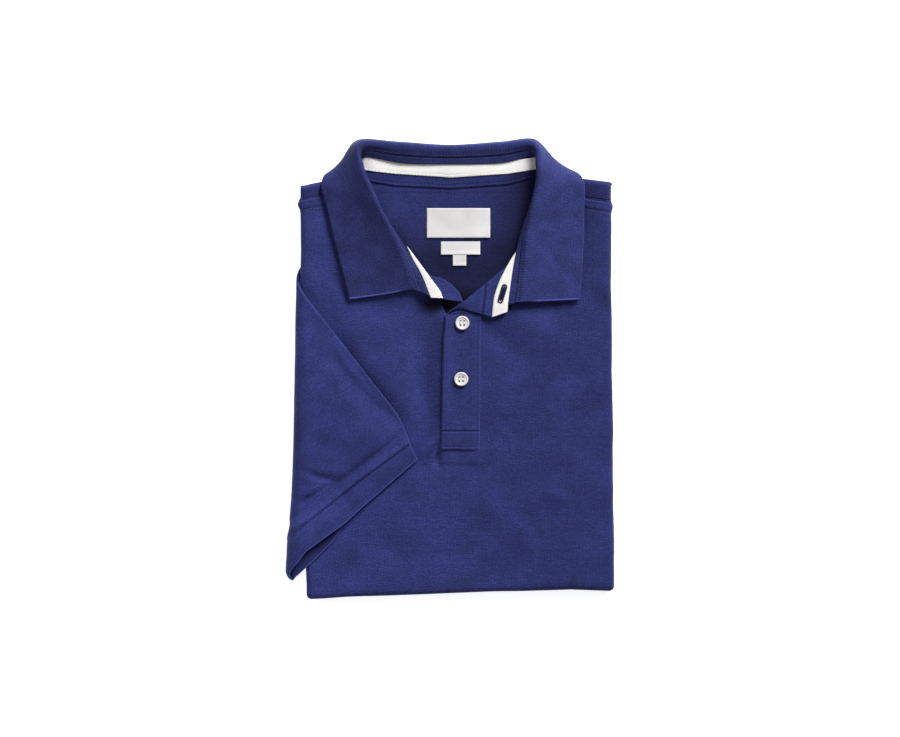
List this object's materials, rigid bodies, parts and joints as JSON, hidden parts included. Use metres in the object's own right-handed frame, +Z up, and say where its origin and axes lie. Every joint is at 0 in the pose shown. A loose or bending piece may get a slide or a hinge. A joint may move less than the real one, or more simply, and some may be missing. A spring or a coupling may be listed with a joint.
{
  "type": "folded polo shirt",
  "caption": "Short-sleeve knitted polo shirt lying folded and face up, with a turned-down rib collar, open button placket and one sleeve brought over the front.",
  "frame": {"origin": "middle of the shirt's box in plan, on the surface that it lies on", "axes": "+Z up, out of the shirt's front; +Y towards the collar; +X towards the wearer's left side"},
  "size_m": [0.282, 0.3934, 0.0373],
  "materials": {
    "pique": "matt knitted pique, navy",
    "pique_inside": "matt knitted pique, inner face, navy",
    "collar_rib": "fine flat-knitted rib, navy",
    "twill_tape": "herringbone cotton tape, off-white",
    "woven_label": "satin woven label, pale grey",
    "button": "pearly, polished"
  },
  "bodies": {
    "root": {"front_panel": "pique", "back_panel": "pique_inside", "hidden_layers": "pique_inside", "sleeve_right": "pique", "collar": "collar_rib", "collar_stand": "collar_rib", "neck_tape_back": "twill_tape", "neck_tape_right": "twill_tape", "neck_tape_left": "twill_tape", "placket_over": "pique", "placket_under": "pique", "placket_turnback": "pique", "label_main": "woven_label", "label_size": "woven_label", "label_fibre": "woven_label", "button_1": "button", "button_2": "button"}
  },
  "joints": []
}
